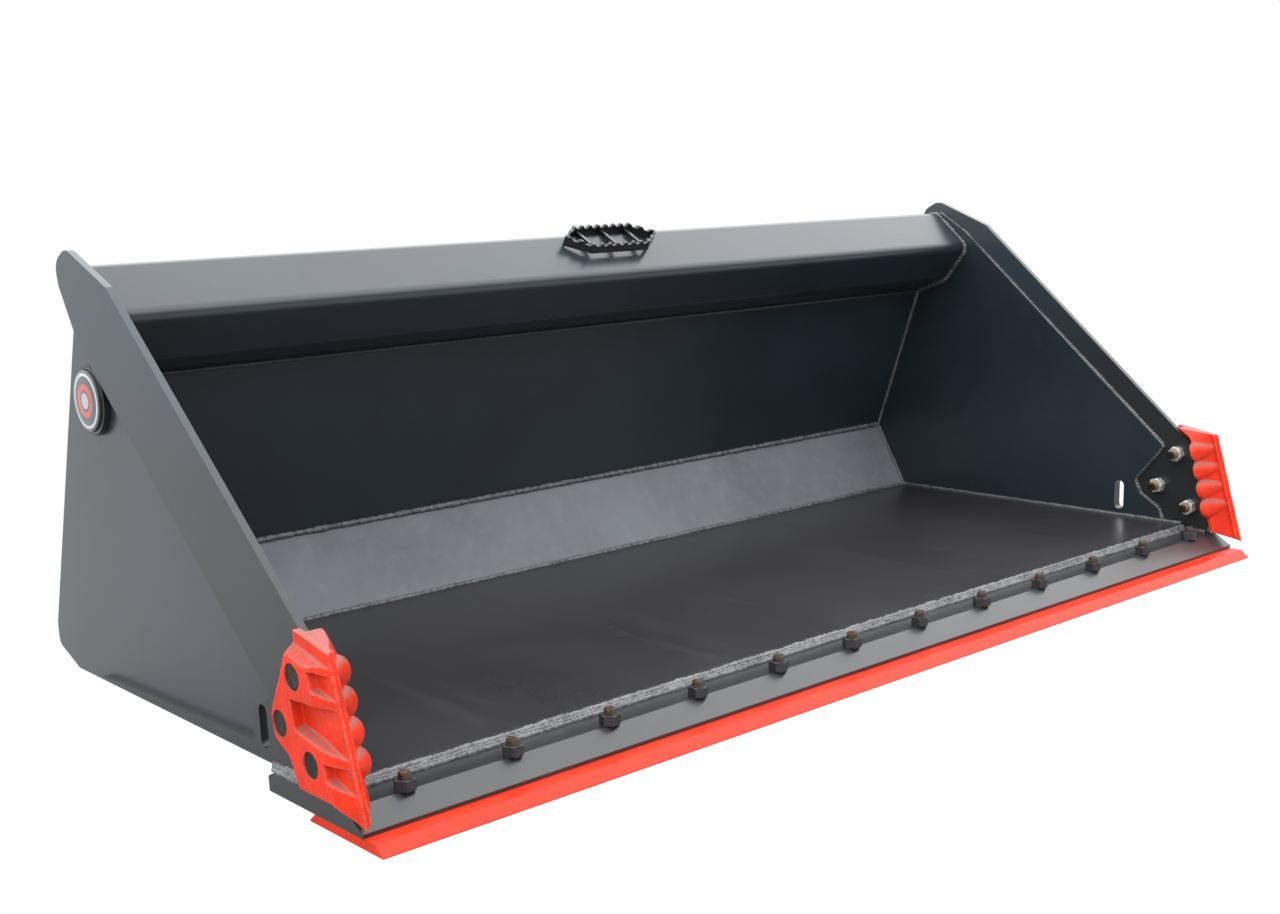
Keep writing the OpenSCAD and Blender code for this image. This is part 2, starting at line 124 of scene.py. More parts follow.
RAIL_FOOT = Vector((back_y(SIDE_TOP_Z - 52), SIDE_TOP_Z - 52))
SIDE_TOP = Vector((RAIL_FOOT.x - 130, SIDE_TOP_Z))
RAKE_FOOT = Vector((77, 190))
ALONG = (SIDE_TOP - RAKE_FOOT).normalized()
INWARD = Vector((ALONG.y, -ALONG.x))
RAIL_TOP = SIDE_TOP_Z + 24
RAIL_REAR = RAIL_FOOT.x + SHEET_DY
RIDGE = Vector((RAIL_REAR - 26, RAIL_TOP))
NOSE = RIDGE - polar(99, 41)
BELLY = NOSE + polar(99 * 0.84, -50)
LIP = crossing(BELLY, polar(1, -19), HEEL_TOP, Vector((-math.sin(LEAN), math.cos(LEAN))))
LAP_SETBACK = 39
CUTTER_BOLTS = [(65, 140), (101, 78), (38, 44)]
CUTTER_LOW = Vector((-55, -8))
CUTTER_HIGH = Vector((-1, 178))
NUT_AF = 24
NUT_H = 14
NUT_BORE = 8.05
SHANK_R = 7.9
THREAD_PITCH = 2.31
EDGE_BOLTS = 12


# ---- Shader maths written as expressions ----


class Socket:
    """A shader output that takes part in Python expressions by adding Math nodes."""

    def __init__(self, shade, link):
        self.shade, self.link = shade, link

    def math(self, operation, first, second):
        return self.shade.add("ShaderNodeMath", {"operation": operation}, [first, second])

    def __add__(self, other):
        return self.math("ADD", self, other)

    def __sub__(self, other):
        return self.math("SUBTRACT", self, other)

    def __rsub__(self, other):
        return self.math("SUBTRACT", other, self)

    def __mul__(self, other):
        return self.math("MULTIPLY", self, other)

    __radd__ = __add__
    __rmul__ = __mul__

    def above(self, low, high):
        """0 below low, 1 above high, and smooth between."""
        return self.shade.add("ShaderNodeMapRange", {"interpolation_type": "SMOOTHSTEP"},
                              {"Value": self, "From Min": low, "From Max": high})


class Shade:
    """A shader's node tree, with one method that adds any node."""

    def __init__(self, tree):
        self.tree = tree

    def add(self, kind, settings=None, values=(), output=0):
        node = self.tree.nodes.new(kind)
        for key, value in (settings or {}).items():
            setattr(node, key, value)
        pairs = values.items() if isinstance(values, dict) else enumerate(values)
        for key, value in pairs:
            self.feed(node.inputs[key], value)
        return Socket(self, node.outputs[output])

    def feed(self, target, value):
        if isinstance(value, Socket):
            self.tree.links.new(value.link, target)
        elif value is not None:
            target.default_value = value


class Finish(Shade):
    """A material, with the patterns that the bucket's finishes are made of."""

    def __init__(self, name):
        self.material = bpy.data.materials.new(name)
        self.material.use_nodes = True
        super().__init__(self.material.node_tree)
        self.shader = self.tree.nodes["Principled BSDF"]
        self.spot = self.add("ShaderNodeTexCoord", output="Object")

    def noise(self, scale, detail=3.0, roughness=0.55, stretch=None):
        where = self.spot
        if stretch:
            where = self.add("ShaderNodeMapping", {}, {"Vector": where, "Scale": stretch})
        return self.add("ShaderNodeTexNoise", {},
                        {"Vector": where, "Scale": scale, "Detail": detail, "Roughness": roughness})

    def cells(self, scale):
        return self.add("ShaderNodeTexVoronoi", {}, {"Vector": self.spot, "Scale": scale})

    def mix(self, factor, a, b):
        return self.add("ShaderNodeMix", {"data_type": "RGBA"}, {0: factor, 6: a, 7: b}, output=2)

    def worn(self):
        """1 on the eased edges of a plate, and 0 on its faces."""
        return self.add("ShaderNodeAttribute", {"attribute_name": "edge"}, output="Fac")

    def bump(self, height, strength, distance):
        return self.add("ShaderNodeBump", {}, {"Strength": strength, "Distance": distance,
                                               "Height": height})

    def finish(self, **sockets):
        for key, value in sockets.items():
            self.feed(self.shader.inputs[key.replace("_", " ")], value)
        return self.material


def rgb(colour, gain=1.0):
    return (*[min(1.0, c * gain) for c in colour[:3]], 1.0)


# ---- Finishes ----


def sprayed_paint(name, colour, roughness, worn_colour, wear=0.55, coat=0.25, shine=0.5,
                  painted_top_colour=None):
    """Spray paint on plate: orange peel, faint handling marks, dusty specks and paint thinned on the edges;
    given a top colour, it also blends lighter towards the top as a painted reflection.
    """
    s = Finish(name)
    clouds = s.noise(3.2, 4)
    mottle = s.noise(38, 5, 0.65)
    peel = s.noise(620, 2, 0.5)
    marks = s.noise(9, 6, 0.72, stretch=(1.0, 7.0, 1.3)).above(0.60, 0.74)
    specks = s.cells(260).above(0.06, 0.02) * s.noise(14, 3).above(0.52, 0.66)
    edge = s.worn() * s.noise(90, 4, 0.7).above(0.42, 0.60) * wear
    base = s.mix(clouds.above(0.32, 0.70), rgb(colour, 0.86), rgb(colour, 1.16))
    if painted_top_colour:
        # Painted reflection: between 0.20 m and 0.55 m up the paint blends to the lighter top colour,
        # standing in for the brighter reflection higher on the plate.
        height = s.add("ShaderNodeSeparateXYZ", {}, {0: s.spot}, output=2)
        base = s.mix(height.above(0.20, 0.55), base, rgb(painted_top_colour))
    base = s.mix(mottle.above(0.45, 0.72) * 0.22, base, rgb(colour, 1.55))
    base = s.mix(specks * 0.35, base, rgb(worn_colour, 0.9))
    base = s.mix(edge, base, rgb(worn_colour))
    gloss = roughness + (clouds - 0.5) * 0.10 + marks * 0.09 + specks * 0.2 + edge * 0.1
    normal = s.bump(peel + mottle * 0.7, 0.10, 0.0006)
    return s.finish(Base_Color=base, Roughness=gloss, Normal=normal, Coat_Weight=coat,
                    Coat_Roughness=0.22, Specular_IOR_Level=shine)


def floor_paint(colour, worn_colour):
    """The floor's flatter paint: fine grain, drag scuffs from front to back, and small chips."""
    s = Finish("floor paint")
    clouds = s.noise(2.6, 5, 0.6)
    grain = s.noise(420, 4, 0.75)
    drag = s.noise(26, 6, 0.7, stretch=(1.0, 0.10, 1.0)).above(0.50, 0.78)
    chips = s.cells(170).above(0.07, 0.03) * s.noise(23, 4).above(0.56, 0.66)
    base = s.mix(clouds.above(0.30, 0.72), rgb(colour, 0.84), rgb(colour, 1.2))
    base = s.mix(drag * 0.25, base, rgb(colour, 1.7))
    base = s.mix(grain.above(0.45, 0.8) * 0.4, base, rgb(colour, 2.2))
    base = s.mix(chips * 0.5, base, rgb(worn_colour))
    gloss = 0.29 + (clouds - 0.5) * 0.12 + drag * 0.07 + chips * 0.2
    normal = s.bump(grain, 0.22, 0.0005)
    return s.finish(Base_Color=base, Roughness=gloss, Normal=normal, Specular_IOR_Level=0.5)


def red_enamel(name, colour, cast, bare):
    """Orange-red enamel, over a sand-cast skin or a rolled bar, rubbed paler on its edges."""
    s = Finish(name)
    clouds = s.noise(17, 5, 0.6)
    skin = s.noise(300 if cast else 520, 4, 0.65)
    pits = s.cells(230).above(0.16, 0.05) * s.noise(40, 3).above(0.5, 0.7)
    edge = s.worn() * s.noise(120, 5, 0.75).above(0.35, 0.62)
    rust = s.noise(70, 5, 0.7).above(0.60, 0.74) * s.worn()
    base = s.mix(clouds.above(0.30, 0.72), rgb(colour, 0.80), rgb(colour, 1.12))
    base = s.mix(skin.above(0.50, 0.82) * 0.30, base, rgb(colour, 1.35))
    base = s.mix(pits * 0.45, base, rgb(colour, 0.45))
    base = s.mix(edge * (0.65 if cast else 0.35), base, bare)
    base = s.mix(rust * (0.15 if cast else 0.6), base, (0.14, 0.042, 0.008, 1))
    # Painted highlight: faces turned upwards on the casting are blended to pale pink, broken up by the cast
    # skin, to stand for light falling on them from above.
    facing = s.add("ShaderNodeTexCoord", output="Normal")
    up = s.add("ShaderNodeSeparateXYZ", {}, {0: facing}, output=2)
    top_highlight = up.above(0.22, 0.70) * skin.above(0.25, 0.55) * (0.80 if cast else 0.0)
    base = s.mix(top_highlight, base, (0.200, 0.100, 0.088, 1))
    height = skin * (1.0 if cast else 0.35) - pits * 0.8
    normal = s.bump(height, 0.55 if cast else 0.25, 0.0008)
    gloss = (0.34 if cast else 0.30) + (clouds - 0.5) * 0.14 + edge * 0.1 + rust * 0.25
    return s.finish(Base_Color=base, Roughness=gloss, Normal=normal,
                    Specular_IOR_Level=0.16 if cast else 0.22)


def oxide_steel(name, dark, rust_colour, rust):
    """Black oxide hardware with a brown rust bloom in the threads and on the corners."""
    s = Finish(name)
    clouds = s.noise(190, 5, 0.7)
    fine = s.noise(900, 4, 0.7)
    bloom = clouds.above(0.62 - 0.28 * rust, 0.78 - 0.20 * rust)
    base = s.mix(fine.above(0.35, 0.7), rgb(dark, 0.7), rgb(dark, 1.6))
    base = s.mix(bloom, base, s.mix(fine.above(0.4, 0.7), rgb(rust_colour, 0.6), rgb(rust_colour)))
    normal = s.bump(fine + clouds, 0.5, 0.0005)
    return s.finish(Base_Color=base, Roughness=0.42 + bloom * 0.38, Metallic=0.75 - bloom * 0.7,
                    Normal=normal)


def zinc_plate():
    """Bright zinc plate with soft grey blotches."""
    s = Finish("zinc plate")
    clouds = s.noise(210, 4, 0.6)
    fine = s.noise(1100, 3)
    base = s.mix(clouds.above(0.35, 0.7), (0.42, 0.41, 0.38, 1), (0.78, 0.78, 0.75, 1))
    return s.finish(Base_Color=base, Roughness=0.26 + clouds * 0.16, Metallic=0.45,
                    Normal=s.bump(fine, 0.15, 0.0003))


def weld_paint(name, dark, light, crests=0.45):
    """Painted weld metal: darker between the ripples and lighter on their crests and in noise patches."""
    s = Finish(name)
    rough = s.noise(240, 5, 0.75)
    patch = s.noise(34, 4, 0.7)
    crest = s.add("ShaderNodeAttribute", {"attribute_name": "crest"}, output="Fac")
    # Lighter colour on the ripple crests and in noisy patches, darker between them.
    worn = (crest * crests + (0.45 - crests) * 0.6 + rough * 0.8 + patch * 0.5).above(0.72, 1.05)
    base = s.mix(worn, rgb(dark), rgb(light))
    return s.finish(Base_Color=base, Roughness=0.40 + rough * 0.25,
                    Normal=s.bump(rough, 0.6, 0.0008), Specular_IOR_Level=0.6)


def badge_finish():
    """The badge's domed face: a plain pale ring round a red centre, on dark lacquer."""
    s = Finish("badge face")
    radius = s.add("ShaderNodeAttribute", {"attribute_name": "radius"}, output="Fac")
    rim = radius.above(0.80, 0.82) * (1 - radius.above(0.90, 0.92))
    red = radius.above(0.34, 0.37) * (1 - radius.above(0.54, 0.57))
    core = 1 - radius.above(0.25, 0.28)
    grain = s.noise(320, 3)
    base = s.mix(grain, (0.020, 0.021, 0.024, 1), (0.034, 0.035, 0.040, 1))
    base = s.mix(red, base, (0.46, 0.022, 0.015, 1))
    base = s.mix(rim + core * 0.8, base, (0.42, 0.43, 0.45, 1))
    return s.finish(Base_Color=base, Roughness=0.16 + grain * 0.08, Coat_Weight=0.8,
                    Coat_Roughness=0.05)


# ---- Mesh helpers ----


def keep(name, mesh, material, slot, *nodes, smooth=None):
    """Adds a finished piece that rides on the bucket and stands for the CAD nodes given."""
    piece = bpy.data.objects.new(name, mesh)
    bpy.context.collection.objects.link(piece)
    if material:
        mesh.materials.clear()
        mesh.materials.append(material)
    if smooth is not None:
        mesh.shade_smooth()
        mesh.set_sharp_from_angle(angle=math.radians(smooth))
    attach(piece, BODY)
    if nodes:
        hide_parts(*nodes)
    return piece


def mesh_of(bm, name):
    mesh = bpy.data.meshes.new(name)
    bm.to_mesh(mesh)
    bm.free()
    return mesh


def applied(obj, name):
    """The object with its modifiers, as a plain mesh. The object itself is removed."""
    graph = bpy.context.evaluated_depsgraph_get()
    mesh = bpy.data.meshes.new_from_object(obj.evaluated_get(graph), depsgraph=graph)
    mesh.name = name
    bpy.data.objects.remove(obj)
    return mesh


def scratch(mesh, name="scratch"):
    """A working object that is removed before the script ends."""
    obj = bpy.data.objects.new(name, mesh)
    bpy.context.collection.objects.link(obj)
    return obj


def boolean(mesh, cutter, operation):
    obj, tool = scratch(mesh), scratch(cutter, "tool")
    cut = obj.modifiers.new("cut", "BOOLEAN")
    cut.object, cut.operation, cut.solver = tool, operation, "EXACT"
    result = applied(obj, mesh.name)
    bpy.data.objects.remove(tool)
    return result


def eased_mesh(node, width):
    """A copy of a CAD node with its sharp edges eased, and the eased faces marked as edge."""
    bm = bmesh.new()
    bm.from_mesh(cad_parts[node].data)
    bmesh.ops.remove_doubles(bm, verts=bm.verts, dist=1e-5)
    bmesh.ops.dissolve_limit(bm, angle_limit=math.radians(0.6), verts=bm.verts, edges=bm.edges)
    sharp = [e for e in bm.edges if e.is_manifold and e.calc_face_angle(0) > math.radians(24)]
    made = bmesh.ops.bevel(bm, geom=sharp, offset=width * MM, offset_type="OFFSET", segments=2,
                           profile=0.6, affect="EDGES", clamp_overlap=True)
    eased = set(made["faces"])
    layer = bm.faces.layers.float.new("edge")
    for face in bm.faces:
        face[layer] = 1.0 if face in eased else 0.0
    bmesh.ops.triangulate(bm, faces=[f for f in bm.faces if len(f.verts) > 4])
    return mesh_of(bm, node)


def eased(node, width, material, slot):
    piece = keep(node + "_finished", eased_mesh(node, width), material, slot, node, smooth=30)
    shine = piece.modifiers.new("even shading", "WEIGHTED_NORMAL")
    shine.keep_sharp = True
    return piece


# ---- Geometry Nodes ----


class Nodes:
    """A Geometry Nodes tree with named inputs, built by one method that adds any node."""

    def __init__(self, name, inputs):
        self.tree = bpy.data.node_groups.new(name, "GeometryNodeTree")
        face = self.tree.interface
        face.new_socket("Geometry", in_out="INPUT", socket_type="NodeSocketGeometry")
        self.names = {}
        for label, kind, default in inputs:
            item = face.new_socket(label, in_out="INPUT", socket_type="NodeSocket" + kind)
            if default is not None:
                item.default_value = default
            self.names[label] = item.identifier
        face.new_socket("Geometry", in_out="OUTPUT", socket_type="NodeSocketGeometry")
        self.input = self.tree.nodes.new("NodeGroupInput")
        self.output = self.tree.nodes.new("NodeGroupOutput")

    def given(self, label):
        return self.input.outputs[label]

    def add(self, kind, settings=None, values=None, output=0):
        node = self.tree.nodes.new(kind)
        for key, value in (settings or {}).items():
            setattr(node, key, value)
        for key, value in (values or {}).items():
            if isinstance(value, bpy.types.NodeSocket):
                self.tree.links.new(value, node.inputs[key])
            else:
                node.inputs[key].default_value = value
        return node.outputs[output]

    def maths(self, operation, a, b=0.0):
        return self.add("ShaderNodeMath", {"operation": operation}, {0: a, 1: b})

    def close(self, geometry):
        solid = self.add("GeometryNodeRealizeInstances", {}, {0: geometry})
        painted = self.add("GeometryNodeSetMaterial", {}, {"Geometry": solid,
                                                           "Material": self.given("Material")})
        self.tree.links.new(painted, self.output.inputs[0])
        return self

    def run(self, obj, name, **values):
        modifier = obj.modifiers.new(name, "NODES")
        modifier.node_group = self.tree
        for label, value in values.items():
            modifier[self.names[label.replace("_", " ")]] = value
        return applied(obj, name)


def bead_tree():
    """Sweeps a rippled weld bead along a path."""
    n = Nodes("weld bead", [("Radius", "Float", 0.004), ("Ripple", "Float", 0.005),
                            ("Depth", "Float", 0.0006), ("Rough", "Float", 0.0009),
                            ("Seed", "Float", 0.0), ("Material", "Material", None)])
    path = n.add("GeometryNodeResampleCurve", {"mode": "LENGTH"},
                 {"Curve": n.given("Geometry"), "Length": 0.0016})
    length = n.add("GeometryNodeSplineParameter", output="Length")
    spot = n.add("GeometryNodeInputPosition")
    lump = n.add("ShaderNodeTexNoise", {"noise_dimensions": "4D"},
                 {"Vector": spot, "W": n.given("Seed"), "Scale": 60.0, "Detail": 3.0})
    width = n.add("ShaderNodeMapRange", {}, {"Value": lump, "From Min": 0.3, "From Max": 0.7,
                                             "To Min": 0.72, "To Max": 1.25})
    path = n.add("GeometryNodeSetCurveRadius", {}, {"Curve": path, "Radius": width})
    stored = n.add("GeometryNodeStoreNamedAttribute", {"data_type": "FLOAT", "domain": "POINT"},
                   {"Geometry": path, "Name": "run", "Value": length})
    ring = n.add("GeometryNodeCurvePrimitiveCircle", {},
                 {"Resolution": 10, "Radius": n.given("Radius")})
    tube = n.add("GeometryNodeCurveToMesh", {}, {"Curve": stored, "Profile Curve": ring,
                                                 "Fill Caps": True, "Scale": width})
    run = n.add("GeometryNodeInputNamedAttribute", {"data_type": "FLOAT"}, {"Name": "run"})
    phase = n.maths("MULTIPLY", n.maths("DIVIDE", run, n.given("Ripple")), math.pi)
    wave = n.maths("ABSOLUTE", n.maths("SINE", n.maths("ADD", phase, n.maths("MULTIPLY", lump, 5.0))))
    grain = n.add("ShaderNodeTexNoise", {"noise_dimensions": "4D"},
                  {"Vector": spot, "W": n.given("Seed"), "Scale": 320.0, "Detail": 3.0})
    push = n.maths("ADD", n.maths("MULTIPLY", wave, n.given("Depth")),
                   n.maths("MULTIPLY", n.maths("SUBTRACT", grain, 0.5), n.given("Rough")))
    normal = n.add("GeometryNodeInputNormal")
    offset = n.add("ShaderNodeVectorMath", {"operation": "SCALE"}, {0: normal, "Scale": push})
    moved = n.add("GeometryNodeSetPosition", {}, {"Geometry": tube, "Offset": offset})
    crest = n.add("GeometryNodeStoreNamedAttribute", {"data_type": "FLOAT", "domain": "POINT"},
                  {"Geometry": moved, "Name": "crest", "Value": wave})
    smooth = n.add("GeometryNodeSetShadeSmooth", {}, {"Geometry": crest})
    return n.close(smooth)


def repeat_tree():
    """Puts a copy of an item at each point, turned about its own axis by a random angle."""
    n = Nodes("repeat", [("Item", "Object", None), ("Axis", "Vector", (0, 0, 1)),
                         ("Seed", "Int", 0), ("Material", "Material", None)])
    item = n.add("GeometryNodeObjectInfo", {}, {"Object": n.given("Item")}, output="Geometry")
    turn = n.add("FunctionNodeRandomValue", {"data_type": "FLOAT"},
                 {2: 0.0, 3: math.tau, "Seed": n.given("Seed")}, output=1)
    spin = n.add("FunctionNodeAxisAngleToRotation", {}, {"Axis": n.given("Axis"), "Angle": turn})
    copies = n.add("GeometryNodeInstanceOnPoints", {}, {"Points": n.given("Geometry"),
                                                       "Instance": item, "Rotation": spin})
    return n.close(copies)


TREES = {}


def tree(name, build):
    if name not in TREES:
        TREES[name] = build()
    return TREES[name]


def bead(name, paths, radius, material, ripple=5.0, seed=0.0, depth=0.7, rough=1.1):
    """Weld beads along paths of points in metres, as one piece."""
    curve = bpy.data.curves.new(name, "CURVE")
    curve.dimensions = "3D"
    for path in paths:
        spline = curve.splines.new("POLY")
        spline.points.add(len(path) - 1)
        for point, spot in zip(spline.points, path):
            point.co = (*spot, 1.0)
    mesh = tree("bead", bead_tree).run(scratch(curve), name, Radius=radius * MM, Ripple=ripple * MM,
                                       Depth=depth * MM, Rough=rough * MM, Seed=seed, Material=material)
    return keep(name, mesh, material, "charcoal_paint")


def repeated(name, item, points, axis, seed, material, slot, *nodes, smooth=35):
    spots = bpy.data.meshes.new(name + " spots")
    spots.from_pydata([tuple(p) for p in points], [], [])
    source = scratch(item, "item")
    mesh = tree("repeat", repeat_tree).run(scratch(spots), name, Item=source, Axis=axis, Seed=seed,
                                           Material=material)
    bpy.data.objects.remove(source)
    return keep(name, mesh, material, slot, *nodes, smooth=smooth)


# ---- Fasteners ----


def lathe(outline, sides, name):
    """Turns (radius, height) points in millimetres round the z axis."""
    bm = bmesh.new()
    rings = []
    for r, z in outline:
        if r <= 1e-6:
            rings.append([bm.verts.new((0, 0, z * MM))])
        else:
            rings.append([bm.verts.new((r * MM * math.cos(math.tau * i / sides),
                                        r * MM * math.sin(math.tau * i / sides), z * MM))
                          for i in range(sides)])
    for a, b in zip(rings, rings[1:]):
        for i in range(sides):
            j = (i + 1) % sides
            loop = [a[i % len(a)], a[j % len(a)], b[j % len(b)], b[i % len(b)]]
            seen = list(dict.fromkeys(loop))
            if len(seen) > 2:
                bm.faces.new(seen)
    bmesh.ops.recalc_face_normals(bm, faces=bm.faces)
    return mesh_of(bm, name)


def hex_nut(across_flats, height, bore, name):
    """A hexagon nut with its corners turned to a chamfer on both faces."""
    flat = across_flats / 2
    corner_r = flat / math.cos(math.radians(30))
    chamfer = (corner_r - flat) * 0.62
    drum = lathe([(0, 0), (flat * 0.97, 0), (corner_r + 0.2, chamfer), (corner_r + 0.2, height - chamfer),
                  (flat * 0.97, height), (0, height)], 48, name)
    prism = lathe([(0, -1), (corner_r, -1), (corner_r, height + 1), (0, height + 1)], 6, "prism")
    hole = lathe([(0, -2), (bore, -2), (bore, height + 2), (0, height + 2)], 32, "hole")
    return boolean(boolean(drum, prism, "INTERSECT"), hole, "DIFFERENCE")


def threaded_rod(radius, low, high, pitch, name, sides=36, depth=1.1):
    """A rod with a true helical thread and a chamfered end, from low to high."""
    bm = bmesh.new()
    rows = int((high - low) / pitch * 6)
    rings = []
    for k in range(rows + 1):
        z = low + (high - low) * k / rows
        taper = max(0.0, 1.6 - (high - z))
        ring = []
        for i in range(sides):
            turn = (z / pitch - i / sides) % 1.0
            r = radius - depth * (1 - abs(2 * turn - 1)) - taper * 0.8
            ring.append(bm.verts.new((r * MM * math.cos(math.tau * i / sides),
                                      r * MM * math.sin(math.tau * i / sides), z * MM)))
        rings.append(ring)
    for a, b in zip(rings, rings[1:]):
        for i in range(sides):
            j = (i + 1) % sides
            bm.faces.new([a[i], a[j], b[j], b[i]])
    bm.faces.new(list(reversed(rings[0])))
    bm.faces.new(rings[-1])
    return mesh_of(bm, name)


def turned(mesh, matrix):
    """The mesh moved by the matrix, with its faces still outwards after a mirror."""
    mesh.transform(matrix)
    if matrix.determinant() < 0:
        mesh.flip_normals()
    return mesh


def joined(meshes, name):
    bm = bmesh.new()
    for mesh in meshes:
        bm.from_mesh(mesh)
    return mesh_of(bm, name)


def plow_head(radius, head_r, head_low, cone, tip, name):
    """A plow bolt's dished head, its cone, and the plain shank that hides in the plates."""
    head = lathe([(0, 0.6), (head_r * 0.55, 0.5), (head_r * 0.86, 0.1), (head_r, 0.5), (head_r, 1.4),
                  (radius, cone), (radius, tip), (0, tip)], 40, name)
    return turned(head, Matrix.Translation((0, 0, head_low * MM)))


# ---- Side cutters ----


def cutter_spot(x, u, v):
    """x outward from the side's outer face, u back from the cutter's ridge, v up along the ridge."""
    up = (CUTTER_HIGH - CUTTER_LOW).normalized()
    yz = CUTTER_LOW + Vector((up.y, -up.x)) * u + up * v
    return place(X_OUT + x, yz.x, yz.y)


def loft(rows, name):
    """Closes a solid through rows of points, all the same length."""
    bm = bmesh.new()
    rings = [[bm.verts.new(p) for p in row] for row in rows]
    for a, b in zip(rings, rings[1:]):
        for i in range(len(a)):
            j = (i + 1) % len(a)
            bm.faces.new([a[i], a[j], b[j], b[i]])
    bm.faces.new(rings[0])
    bm.faces.new(list(reversed(rings[-1])))
    bmesh.ops.recalc_face_normals(bm, faces=bm.faces)
    return mesh_of(bm, name)


LOBES = 4
LOBE_LOW = 51.5
LOBE_PITCH = 34.5


def cutter_nose():
    """The cutter's nose: a face that runs in from the ridge and swells into rounded fingers."""
    valley_x = -(X_OUT - X_MID) - 10
    tip_x = -(X_OUT - X_MID) - LOBE_REACH
    rows = []
    for k in range(331):
        v = -12 + k * 0.75
        phase = (v - LOBE_LOW) / LOBE_PITCH
        inside = 0 < phase < LOBES
        off = (phase % 1.0 - 0.5) * LOBE_PITCH
        end_u = 34 + 0.013 * max(0, v - 181) ** 2
        row = [cutter_spot(10, 0, v)]
        for i in range(1, 21):
            s = i / 20
            width = 17.1 * min(1.0, 0.05 + s)
            finger = max(0.0, 1 - abs(off / width) ** 2.0) ** 0.55 if inside else 0.0
            round_off = 2.5 * max(0.0, (s - 0.85) / 0.15) ** 2
            end_x = valley_x + (tip_x - valley_x) * finger
            row.append(cutter_spot(10 + (end_x - 10 + round_off * finger) * s,
                                   (end_u + 2 * finger) * s, v))
        row += [cutter_spot(end_x, end_u + 6, v), cutter_spot(end_x + 5, end_u + 9, v),
                cutter_spot(-9, end_u + 10, v), cutter_spot(8, end_u + 10, v), cutter_spot(11, 12, v)]
        rows.append(row)
    nose = loft(rows, "nose")
    limits = [(-90, -25), (-90, 300), (90, 300), (62, 189), (39, 172), (29, 149), (1, 30), (1, 5),
              (-14, 5)]
    return boolean(nose, prism_mesh(limits, X_MID - 60, X_OUT + 60), "INTERSECT")


def cutter_cheek():
    """The cutter's cheek: a thick pad round the bolts, ribs towards the ridge, and pockets between."""
    outline = bends([(-50, -6), (4, 181), (10, 215), (72, 215), (73.5, 176, 6), (90, 140, 12),
                     (119, 88, 16), (116, 60, 14), (84, 43, 14), (68, 9, 7), (-4, 9, 6), (-50, -6)])[:-1]
    cheek = prism_mesh(outline, X_OUT, X_OUT + CHEEK_T)
    over = CHEEK_T + 30

    def sweep(section):
        return loft([[cutter_spot(x, u, v) for x, u in section] for v in (-60, 260)], "sweep")

    def wedge(floor, mouth):
        return loft([[cutter_spot(*p) for p in floor], [cutter_spot(*p) for p in mouth]], "wedge")

    falls = sweep([(10.5, -70), (10.5, 0), (CHEEK_T - 4, 22), (CHEEK_T, 40), (over, 40), (over, -70)])
    cheek = boolean(cheek, falls, "DIFFERENCE")
    for (a, b, c, d), deep in ((((40, 180), (4, 169), (4, 141), (38, 156)), 13),
                               (((90, 153), (4, 131), (4, 74), (92, 115)), 14),
                               (((46, 77), (4, 66), (4, 37), (46, 56)), 12)):
        low = CHEEK_T - deep
        foot = 2.0 if a[0] < 60 else 5.0
        floor = [(low, a[0] - 1, a[1] - 2), (8.5, b[0], b[1] - 1), (8.5, c[0], c[1] + foot - 1),
                 (low, d[0] - 1, d[1] + foot)]
        mouth = [(over, a[0] + 6, a[1] + 2), (over, b[0] - 3, b[1] + 2),
                 (over, c[0] - 3, c[1] - foot - 3), (over, d[0] + 6, d[1] - foot - 2)]
        cheek = boolean(cheek, wedge(floor, mouth), "DIFFERENCE")
    band = loft([[place(X_OUT + x, y, z) for y, z in points] for x, points in (
        (CHEEK_T / 2, [(-20, 160), (8, 163), (90, 182), (90, 260), (-20, 260)]),
        (CHEEK_T + 12, [(-20, 155), (8, 158), (90, 150), (90, 260), (-20, 260)]))], "band")
    return boolean(cheek, band, "DIFFERENCE")


def cutter_mesh():
    """The right side cutter, cast in one from its cheek, nose and ridge bead."""
    low, high = cutter_spot(8.6, 2.2, -2), cutter_spot(8.6, 2.2, 196)
    rib_r, rib_l = 1.9, (high - low).length / MM
    rib = lathe([(0, 0), (rib_r, 0), (rib_r, rib_l), (0, rib_l)], 20, "rib")
    turned(rib, Matrix.Translation(low) @ (high - low).to_track_quat("Z", "Y").to_matrix().to_4x4())
    lump = scratch(joined([cutter_cheek(), cutter_nose(), rib], "cutter body"))
    remesh = lump.modifiers.new("cast", "REMESH")
    remesh.mode = "VOXEL"
    remesh.voxel_size = 0.0013
    melt = lump.modifiers.new("soften", "SMOOTH")
    melt.factor, melt.iterations = 0.5, 2
    cast = applied(lump, "cutter")
    top = [(x, y, 177.2 + 0.187 * y) for x, y in ((-60, -100), (60, -100), (60, 140), (-60, 140))]
    lid = loft([[place(X_OUT + x, y, z) for x, y, z in top],
                [place(X_OUT + x, y, 320) for x, y, z in top]], "lid")
    cast = boolean(cast, lid, "DIFFERENCE")
    for y, z in CUTTER_BOLTS:
        hole = lathe([(0, -40), (8.8, -40), (8.8, CHEEK_T - 7.4), (15.6, CHEEK_T - 7), (16.6, CHEEK_T + 6),
                      (0, CHEEK_T + 6)], 48, "hole")
        turned(hole, Matrix.Translation(place(X_OUT, y, z)) @ Matrix.Rotation(math.pi / 2, 4, "Y"))
        cast = boolean(cast, hole, "DIFFERENCE")
    return cast


def prism_mesh(outline, x0, x1):
    """A plate with the given (y, z) outline, from x0 to x1."""
    bm = bmesh.new()
    near = [bm.verts.new(place(x0, p[0], p[1])) for p in outline]
    far = [bm.verts.new(place(x1, p[0], p[1])) for p in outline]
    for i in range(len(outline)):
        j = (i + 1) % len(outline)
        bm.faces.new([near[i], near[j], far[j], far[i]])
    bm.faces.new(near)
    bm.faces.new(list(reversed(far)))
    bmesh.ops.recalc_face_normals(bm, faces=bm.faces)
    return mesh_of(bm, "prism")


